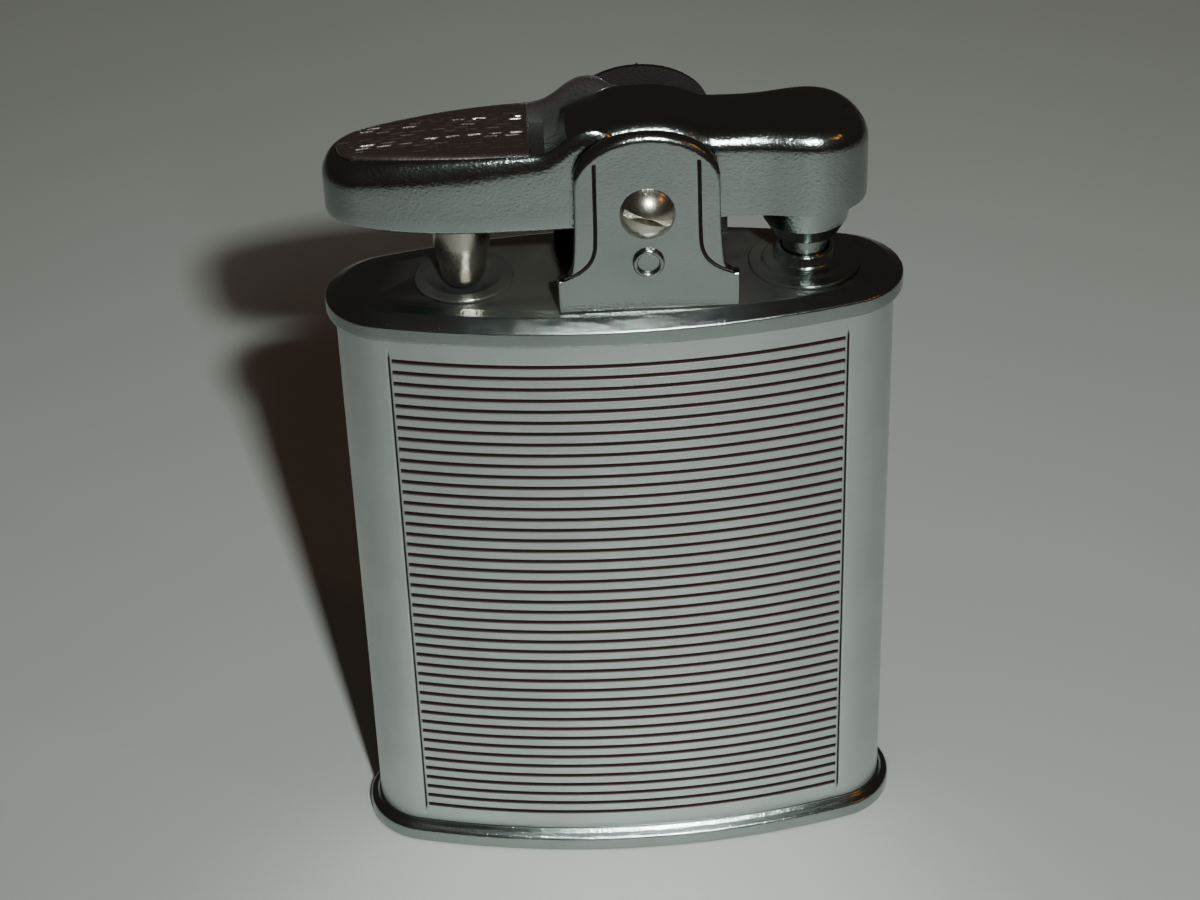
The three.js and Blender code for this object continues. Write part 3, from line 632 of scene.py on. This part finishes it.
def plate_rows():
    """Heights up a bridge plate: close at the shoulder, the flare and the top of the arch."""
    crown = 54.5 + (PLATE_TOP - 0.001 - 54.5) * np.sin(np.linspace(0, math.pi / 2, 60))
    return np.concatenate([
        [45.15, 45.2, 45.3, 46.2, 47.0, 47.3, 47.38, SHOULDER_Z - 0.005],
        np.arange(SHOULDER_Z, 49.8, 0.055),
        np.arange(49.85, 54.5, 0.25), crown,
    ])


def bridge_plates():
    rows = plate_rows()
    half = np.array([plate_half_width(z) for z in rows])
    side = np.concatenate([
        np.linspace(0, 0.6, 9, endpoint=False), np.linspace(0.6, 0.97, 54, endpoint=False),
        1 - 0.03 * (1 - np.sin(np.linspace(0, math.pi / 2, 8))),
    ])
    across_x = np.concatenate([-side[:0:-1], side])
    x = half[:, None] * across_x
    z = np.repeat(rows[:, None], len(across_x), 1)
    edge_line = np.column_stack([half[8:], rows[8:]])
    inset = distance(np.abs(x), z, edge_line)
    shoulder = np.where(np.abs(x) > 5.5, SHOULDER_Z - z, 9)
    inset = np.where(z < SHOULDER_Z, np.minimum(5.8 - np.abs(x), shoulder), inset)
    radius = PLATE_EDGE(rows)[:, None]
    drop = radius - np.sqrt(np.clip(radius ** 2 - np.clip(radius - inset, 0, None) ** 2, 0, None))
    away = distance(np.abs(x), z, CHANNEL)
    cut = 0.2 * np.sqrt(np.clip(1 - (away / 0.11) ** 2, 0, 1))
    front = -PLATE_OUTER + np.maximum(np.minimum(drop, 0.62), cut)
    grid = []
    for i in range(len(rows)):
        outer = list(zip(PIVOT_X + x[i], front[i], z[i]))
        grid.append([(outer[0][0], -PLATE_INNER, rows[i]), *outer, (outer[-1][0], -PLATE_INNER, rows[i])])
    body = skin("front_plate", np.array(grid), cap=True, sharp=50)
    # painted shade in the plates' channels and on their inner faces
    mark(body, "painted_shade", plate_painted_shade)
    rear = mirror(body, "rear_plate")
    stand_for(body, "front_bridge_plate")
    stand_for(rear, "rear_bridge_plate")


def plate_painted_shade(x, y, z):
    """Painted shade makes the bridge plates' channels and their inner faces dull and dark."""
    channel = (0.11 - distance(np.abs(x - PIVOT_X), z, CHANNEL)) / 0.07
    return np.maximum(channel, 0.88 * (np.abs(y) < PLATE_INNER + 0.02))


def bridge_screws():
    face = PLATE_OUTER + 0.03
    dome = [(1.75, face), (1.76, face + 0.08)]
    dome += [(r, face + 0.08 + math.sqrt(2.15 ** 2 - r * r) - math.sqrt(2.15 ** 2 - 1.75 ** 2))
             for r in np.linspace(1.73, 0.1, 24)]
    head = turned("screw_head", [(0, 3.0), (0.5, 3.0), (0.5, face), *dome, (0, face + 0.98)], 0)
    head = carve(head, box("slot", -4, 4, -0.21, 0.21, face + 0.3, face + 2))
    lean = Matrix.Rotation(math.radians(17), 4, "Y")
    head.data.transform(lean @ Matrix.Rotation(math.radians(90), 4, "X"))
    head.data.transform(Matrix.Translation((PIVOT_X * MM, 0, PIVOT_Z * MM)))
    shade(head)
    rear = mirror(head, "rear_screw_head")
    stand_for(head, "front_axle_screw")
    stand_for(rear, "rear_axle_screw")
    ring = [(0.85 + 0.17 * c, face + 0.08 + 0.17 * s) for c, s in arc(0, 0, 1, 200, -30, 16)]
    rolled = [(0, face - 0.01), *ring, (1.0, face - 0.02), (0.6, face - 0.02), (0.6, 2.65), (0, 2.65)]
    rivet = across(turned("rivet_head", rolled, 0, 64), PIVOT_X, LEVER_PIVOT_Z)
    front = mirror(rivet, "front_rivet_head")
    stand_for(front, "front_pivot_rivet")
    stand_for(rivet, "rear_pivot_rivet")


def bridge_inside():
    foot = [(-2.6, -4.1), (6.6, -4.1), (6.6, 4.1), (-2.6, 4.1)]
    floor = upright(plate("bridge_floor", foot, 45.15, 45.65, 0.12))
    side = rounded([
        (-0.4, 45.3, 0), (4.4, 45.3, 0), (4.1, 48.4, 0.6), (3.3, 49.3, 0.6), (0.7, 49.3, 0.6),
        (-0.1, 48.4, 0.6),
    ])
    cheek = plate("cheek", side, 2.65, 3.3, 0.12, (arc(PIVOT_X, LEVER_PIVOT_Z, 0.68, 0, 354, 59),))
    other = mirror(cheek, "other")
    body = fuse(carve(floor, bore(1.9, PIVOT_X, 44, 47)), cheek, other)
    stand_for(body, "bridge_frame")
    tube = rounded([(1.35, 1.7, 0), (1.75, 1.7, 0), (1.75, 47.9, 0.15), (1.35, 47.9, 0.1)])
    stand_for(turned("flint_barrel", tube, PIVOT_X), "flint_tube")


# ---- Thumb lever -----------------------------------------------------------------------------


def nose_path(centre_x, half, side_radius, tip, right, steps=26):
    """Plan points and normals of a blade: straight to centre_x, then bowed sides and a round tip."""
    reach = centre_x - tip
    end = (reach ** 2 + half ** 2 - 2 * side_radius * half) / (2 * (reach - side_radius))
    angle = math.atan2(reach - end, side_radius - half)
    points = [((x, -half), (0, -1)) for x in right]
    for a in np.linspace(0, angle, steps)[1:]:
        x, y = centre_x - side_radius * math.sin(a), side_radius - half - side_radius * math.cos(a)
        points.append(((x, y), (-math.sin(a), -math.cos(a))))
    for a in np.linspace(angle, math.pi - angle, steps + 10)[1:-1]:
        points.append(((tip + end - end * math.sin(a), -end * math.cos(a)), (-math.sin(a), -math.cos(a))))
    points += [((x, -y), (nx, -ny)) for (x, y), (nx, ny) in reversed(points[:len(right) + steps - 1])]
    return np.array([p for p, _ in points]), np.array([n for _, n in points])


LEVER_HEIGHT = height([
    (-18.5, 55.25), (-17.3, 55.3), (-15.3, 55.5), (-13.4, 55.66), (-10.1, 55.86), (-7, 55.95),
    (-5.2, 55.97),
    (-4.3, 56.12), (-3.5, 56.55), (-2.6, 57.22), (-1.9, 57.58), (-1.2, 57.67), (-0.5, 57.5), (0.3, 57.0),
    (1.4, 56.75),
    (3.2, 56.6), (4.8, 56.3), (5.6, 55.7), (6.0, 54.8), (6.15, 53.2),
])
LEVER_FOOT = height([
    (-18.5, 51.0), (-17, 50.95), (-15.5, 50.8), (-13, 50.65), (-10, 50.6), (-3.0, 50.6), (-2.0, 50.55),
    (-1.0, 50.2),
    (0.0, 49.3), (0.8, 48.3), (1.4, 47.7), (2.0, 47.5), (2.6, 47.7), (3.1, 48.2), (4.5, 49.8),
    (5.8, 51.7), (6.15, 53.2),
])


RIM = [
    (0.0, 1.75), (0.015, 1.48), (0.05, 1.22), (0.105, 0.94), (0.175, 0.67), (0.25, 0.45), (0.33, 0.29),
    (0.42, 0.19),
    (0.48, 0.15),
]


def lever_section(x):
    """Offsets and heights round the lever's wall at x: foot, face, rounded rim, inner edge."""
    low, high = float(LEVER_FOOT(x)), float(LEVER_HEIGHT(x))
    tall = high - low
    deep = min(float(np.interp(x, [-18.4, -9.3, -7, -5.5, 1], [1.0, 1.07, 0.92, 0.8, 0.7])), 0.3 * tall)
    lip = float(np.interp(x, [-18.4, -13.5, -9.2, -5.2], [1.0, 0.85, 0.62, 0.42]))
    foot = min(0.14, 0.1 * tall)
    wall = lip + 0.03
    section = [(-wall, low + foot), (-wall + 0.06, low + 0.4 * foot), (-wall + 0.16, low)]
    section += [(-0.22, low), (-0.11, low + 0.25 * foot), (-0.03, low + 0.8 * foot), (0, low + 1.8 * foot)]
    start = high - RIM[0][1] * deep
    section += [(0, low + 1.8 * foot + f * (start - low - 1.8 * foot)) for f in (0.25, 0.5, 0.75)]
    section += [(-inset * lip / 0.48, high - drop * deep) for inset, drop in RIM]
    section.append((-wall, high - 0.3 * deep))
    return section


def pinion_hole(steps=120):
    """The hole that the pinion sweeps in the lever's ear, seen from the lever."""
    tooth = []
    for k in range(8):
        tooth += [(45 * k + d, r) for d, r in ((-14, 1.52), (-6.5, 2.16), (6.5, 2.16), (14, 1.52))]
    around = np.radians([a for a, _ in tooth])
    radii = np.array([r for _, r in tooth])
    lift = PIVOT_Z - LEVER_PIVOT_Z
    half_way = math.radians(6)
    mid = np.array([PIVOT_X + lift * math.sin(half_way), LEVER_PIVOT_Z + lift * math.cos(half_way)])
    reach = np.zeros(steps)
    bearing = np.linspace(0, 2 * math.pi, steps, endpoint=False)
    for turn in np.radians(np.linspace(0, 12, 13)):
        centre = np.array([PIVOT_X + lift * math.sin(turn), LEVER_PIVOT_Z + lift * math.cos(turn)])
        turned_by = around + 2 * turn
        shape = np.column_stack([radii * np.cos(turned_by), radii * np.sin(turned_by)]) + centre - mid
        edges = zip(shape, np.roll(shape, -1, 0))
        fine = np.concatenate([np.linspace(a, b, 12, endpoint=False) for a, b in edges])
        angle = np.arctan2(fine[:, 1], fine[:, 0]) % (2 * math.pi)
        order = np.argsort(angle)
        out = np.interp(bearing, angle[order], np.hypot(*fine.T)[order], period=2 * math.pi)
        reach = np.maximum(reach, out)
    return [(mid[0] + r * math.cos(a), mid[1] + r * math.sin(a)) for a, r in zip(bearing, reach)]


def thumb_lever():
    bend = 6.15 - 1.6 * (1 - np.cos(np.linspace(0.06, math.pi / 2, 12)))
    right = np.concatenate([bend, np.linspace(4.4, -7, 90)])
    points, normals = nose_path(-7, LEVER_HALF_WIDTH, 40, -18.43, right)
    grid = []
    for (x, y), (nx, ny) in zip(points, normals):
        grid.append([(x + nx * o, y + ny * o, z) for o, z in lever_section(x)])
    body = skin("lever_shell", np.array(grid), cap=True, sharp=50)
    hole = plate("hole", pinion_hole(), -6, 6, 0.0001)
    body = carve(body, hole, cross_bore(0.68, LEVER_PIVOT_Z), sharp=50)
    inset = 0.4
    web_ends = np.array([WEB_RIGHT, -6.9])
    inside, _ = nose_path(-7, LEVER_HALF_WIDTH - inset, 40 - inset, -18.43 + inset, web_ends)
    web = upright(plate("web", inside, WEB_BOTTOM, WEB_TOP, 0.04))
    body = fuse(body, web)
    # painted shade in the hollow beside the thumb plate and on its web
    mark(body, "painted_shade", lever_painted_shade)
    stand_for(body, "thumb_lever")


def lever_painted_shade(x, y, z):
    """Painted shade makes the hollow beside the thumb plate dull and dark, and its web half dull and dark.
    """
    hollow = (np.abs(y) < LEVER_HALF_WIDTH - 0.44) & (x > -6.5) & (z > WEB_BOTTOM)
    bowed = np.sqrt(40 ** 2 - np.clip(-7 - x, 0, 12) ** 2) - 40 + LEVER_HALF_WIDTH
    web = (np.abs(y) < bowed - 0.3) & (x > -14) & (z > WEB_BOTTOM - 0.05) & (z < WEB_TOP + 0.05)
    return np.where(web, 0.72, 0.93 * hollow)


def cut_strokes(x, y):
    """Depth of the thumb plate's fine staggered strokes at x, y: each is steep on its rear side."""
    pitch, stroke = 0.36, 1.35
    row = np.round(y / pitch)
    drift = np.mod(row * 0.618, 1.0) * stroke + 0.18 * np.sin(row * 5.1)
    count = np.floor((x + drift) / stroke)
    along = np.abs(np.mod(x + drift, stroke) / stroke - 0.5) * 2
    beside = (y - row * pitch) / pitch
    rise, fall = (beside + 0.42) / 0.54, (0.34 - beside) / 0.22
    bevel = np.clip(np.where(beside < 0.12, rise, fall), 0, 1)
    worn = np.exp(-((y - 1.2) / 0.7) ** 2) + np.exp(-((y + 0.7) / 0.6) ** 2)
    force = (0.2 + 0.8 * np.mod(np.sin(row * 12.9 + count * 78.2) * 43.7, 1.0)) * (0.4 + 0.6 * worn)
    return 0.13 * force * bevel * np.clip(2.2 * (1 - along), 0, 1)


def thumb_insert():
    """A half oval plate with a slightly domed top that is cut with rows of strokes."""
    half, side, tip = 3.56, 34.0, -17.4
    points, _ = nose_path(INSERT_RIGHT, half, side, tip, np.array([INSERT_RIGHT]), 40)
    front = points[:len(points) // 2 + 1]
    order = np.argsort(front[:, 0])
    edge = lambda x: np.interp(x, front[order, 0], -front[order, 1])
    stations = np.concatenate([tip + (0.9 * (1 - np.cos(np.linspace(0, math.pi / 2, 14)))),
                               np.arange(tip + 0.95, INSERT_RIGHT, 0.055), [INSERT_RIGHT]])
    grid = []
    for x in stations:
        width = max(float(edge(x)), 1e-3)
        y = np.linspace(-1, 1, 197) * width
        inset = np.minimum(width - np.abs(y), INSERT_RIGHT - x)
        smooth = np.clip(np.minimum(width - np.abs(y), 5 * (INSERT_RIGHT - x)) / 0.6, 0, 1)
        lip = 0.4 * (1 - np.sqrt(np.clip(1 - (1 - smooth) ** 2, 0, 1)))
        dome = 0.14 * (1 - (y / half) ** 2)
        top = LEVER_HEIGHT(x) - 0.01 + dome - lip - cut_strokes(x, y) * np.clip(inset / 0.3 - 0.6, 0, 1)
        line = [(x, -width, WEB_TOP + 0.05), *zip([x] * len(y), y, top), (x, width, WEB_TOP + 0.05)]
        grid.append(line)
    stand_for(skin("thumb_plate", np.array(grid), cap=True, sharp=60), "thumb_insert")


def spring_pieces():
    pin = rounded([
        (0, 50.4, 0), (0.6, 50.4, 0.2), (0.6, 53.3, 0), (1.5, 53.35, 0.05), (1.5, 53.85, 0.05),
        (0, 53.85, 0),
    ], closed=False)
    stand_for(turned("spring_guide_pin", pin, SPRING_X, 64), "spring_guide")
    shell = spline([
        (0, 44.75), (0.7, 44.82), (1.15, 45.08), (1.4, 45.5), (1.52, 46.0), (1.7, 47.0), (1.85, 48.2),
    ], 6)
    shell += rounded([
        (1.85, 48.2, 0), (1.85, 50.2, 0.08), (1.45, 50.2, 0.08), (1.4, 47.6, 0.2), (1.05, 46.0, 0.3),
        (0, 45.8, 0),
    ], closed=False)[1:]
    stand_for(turned("plunger_cup", shell, SPRING_X), "spring_plunger")
    dish = rounded([
        (0, 44.15, 0), (1.6, 44.15, 0.1), (2.35, 44.5, 0.1), (2.4, 45.15, 0.05), (3.3, 45.15, 0.05),
        (3.2, 45.36, 0.1),
        (2.5, 45.36, 0.12), (1.9, 44.95, 0.3), (1.2, 44.6, 0.4), (0, 44.5, 0),
    ], closed=False)
    socket = turned("socket_dish", dish, SPRING_X)
    mark(socket, "film", lambda x, y, z: np.full(x.shape, 0.4))
    stand_for(socket, "spring_socket")


# ---- Snuffer ---------------------------------------------------------------------------------
ARM_HEIGHT = height([
    (-2.85, 56.1), (-2.2, 56.45), (-1.4, 56.84), (-0.4, 57.2), (0.8, 57.42), (2.0, 57.5), (3.2, 57.44),
    (4.3, 57.22),
    (5.1, 56.92), (5.7, 56.67), (6.3, 56.52), (7.2, 56.49), (9, 56.5), (11, 56.54),
    (12.5, ARM_TOP + 0.16),
    (14.2, 56.5), (15.4, 56.3), (16.5, 56.0),
])
ARM_WIDTH = height([
    (-3, 3.2), (7.4, 3.2), (8.6, 3.22), (9.8, 3.32), (11.0, 3.55), (12.0, 3.71), (12.7, 3.75),
])


def arm_path(inset, stations=150):
    """Plan points of the arm's front side, from the hump's open edge to the tip, with their normals."""
    along = np.linspace(-2.85, 12.7, stations)
    width = ARM_WIDTH(along)
    slope = np.gradient(width, along)
    points = []
    for x, w, s in zip(along, width, slope):
        points.append(((x, -w), (-s / math.hypot(1, s), -1 / math.hypot(1, s))))
    for a in np.linspace(0, math.pi / 2, 40)[1:]:
        points.append(((12.7 + 3.75 * math.sin(a), -3.75 * math.cos(a)), (math.sin(a), -math.cos(a))))
    return [((x - nx * inset, y - ny * inset), (nx, ny)) for (x, y), (nx, ny) in points]


def arm_foot(x):
    """Lower edge of the arm's side at x: open sheet edge, round nose about the pivot, then level."""
    if x < -0.19:
        return float(np.interp(x, [-2.85, -0.19], [54.6, 51.39]))
    if x < 3.74:
        return PIVOT_Z - math.sqrt(max(2.3 ** 2 - (x - PIVOT_X) ** 2, 0.3))
    return ARM_BOTTOM


def arm_line(index, inset, fillet, drop):
    """One line over the arm from its front foot to its rear foot."""
    (px, py), (nx, ny) = arm_path(0)[index]
    half = []
    foot = arm_foot(px)
    top = float(ARM_HEIGHT(min(px, 16.2))) - drop
    for f in (0, 0.04, 0.3, 0.6, 0.85):
        half.append((px - nx * inset, py - ny * inset, foot + (top - fillet - foot) * f))
    for a in np.linspace(0, math.pi / 2, 12):
        back = inset + fillet * (1 - math.cos(a))
        x, y = px - nx * back, py - ny * back
        crown = float(ARM_HEIGHT(x)) - drop
        half.append((x, y, crown - fillet * (1 - math.sin(a))))
    ends = half[-1]
    middle = [(ends[0], ends[1] * (1 - 2 * t), ends[2]) for t in np.linspace(0, 1, 14)[1:-1]]
    return [*half, *middle, *[(x, -y, z) for x, y, z in reversed(half)]]


def snuffer_arm():
    grid = []
    for i in range(len(arm_path(0)) - 1):
        outer = arm_line(i, 0, 1.05 + 0.65 * i / 190, 0)
        inner = arm_line(i, ARM_WALL, 0.35, ARM_WALL)
        grid.append([*outer, *reversed(inner)])
    body = skin("snuffer_shell", np.array(grid), cap=True, sharp=50)
    body = carve(body, cross_bore(0.98, PIVOT_Z, -4, 4), sharp=50)
    stand_for(body, "snuffer_arm")


def snuffer_pieces():
    cap = rounded([
        (0, 48.75, 0), (1.8, 48.75, 0), (1.8, 47.65, 0.06), (2.15, 47.65, 0.12), (2.62, 48.5, 0.15),
        (2.78, 48.75, 0.15),
        (3.05, 50.5, 0.3), (3.05, 51.4, 0.3), (1.3, 51.9, 0.3), (1.3, 55.85, 0.05), (0, 55.85, 0),
    ], closed=False)
    stand_for(turned("cap_cone", cap, WICK_X), "snuffer_cap")


# ---- Build every piece -----------------------------------------------------------------------
case_sleeve()
base_cap()
top_cover()
wick_pieces()
base_screws()
bridge_plates()
bridge_screws()
bridge_inside()
thumb_lever()
thumb_insert()
spring_pieces()
snuffer_arm()
snuffer_pieces()
for node, obj in frame["nodes"].items():
    obj.data.materials.clear()
    obj.data.materials.append(MATERIALS[SLOT_OF[node]])
coil = frame["nodes"]["return_spring"]
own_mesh(coil)
coil = frame["nodes"]["flint_spring"]
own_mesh(coil)

# ---- Stage -----------------------------------------------------------------------------------


def table_top():
    """A pale matt table with a soft mottle."""
    bpy.ops.mesh.primitive_plane_add(size=3.0)
    floor = bpy.context.object
    floor.name = "table_top"
    nodes = Nodes("table")
    cloud = nodes.noise(14, 3, 0.5)
    tone = nodes.spread(cloud, 0.3, 0.7, 0, 1)
    nodes.set(Base_Color=nodes.blend(tone, (0.50, 0.50, 0.48, 1), (0.54, 0.54, 0.52, 1)), Roughness=0.55)
    floor.data.materials.append(nodes.material)


def lamp(name, place, aim, size, power, color, fan=180):
    data = bpy.data.lights.new(name, "AREA")
    data.shape = "RECTANGLE"
    data.size, data.size_y = size
    data.energy = power
    data.spread = math.radians(fan)
    data.color = color
    light = bpy.data.objects.new(name, data)
    light.location = place
    light.rotation_mode = "QUATERNION"
    light.rotation_quaternion = (Vector(aim) - Vector(place)).to_track_quat("-Z", "Y")
    bpy.context.collection.objects.link(light)


def camera():
    """The camera stands in front, a little to the left, and looks down at 35 degrees."""
    yaw, pitch, roll = math.radians(1.668), math.radians(35.0), math.radians(-2.02)
    ahead = Vector((math.sin(yaw) * math.cos(pitch), math.cos(yaw) * math.cos(pitch), -math.sin(pitch)))
    level = Vector((math.cos(yaw), -math.sin(yaw), 0))
    upward = level.cross(ahead)
    right = level * math.cos(roll) + upward * math.sin(roll)
    top = upward * math.cos(roll) - level * math.sin(roll)
    data = bpy.data.cameras.new("camera")
    data.sensor_width = 36
    data.lens = 84.96
    data.clip_start, data.clip_end = 0.01, 10
    eye = bpy.data.objects.new("camera", data)
    turn = Matrix((right, top, -ahead)).transposed().to_4x4()
    eye.matrix_world = Matrix.Translation(Vector((-1.355, 0, 30.789)) * MM - ahead * 193.625 * MM) @ turn
    bpy.context.collection.objects.link(eye)
    bpy.context.scene.camera = eye


def surroundings():
    """A dim room: the polished tops reflect it."""
    world = bpy.data.worlds.new("room")
    world.use_nodes = True
    world.node_tree.nodes["Background"].inputs["Color"].default_value = (0.034, 0.027, 0.022, 1)
    world.node_tree.nodes["Background"].inputs["Strength"].default_value = 1.0
    bpy.context.scene.world = world


table_top()
surroundings()
lamp("key", (0.036, -0.224, 0.210), (0, 0.045, 0), (0.014, 0.009), 0.215, (0.89, 1.0, 0.94), 95)
lamp("strip", (0.0370, -0.236, 0.2215), (0, 0.045, 0), (0.0125, 0.085), 0.045, (0.97, 1.0, 1.0), 95)
lamp("bounce", (0, -0.075, 0.320), (-0.003, -0.026, 0), (0.012, 0.008), 0.0033, (0.94, 1.0, 0.99), 12)
lamp("glow", (0.40, -0.22, 0.34), (0, 0, 0.04), (0.03, 0.03), 0.08, (1.0, 0.40, 0.10))
camera()
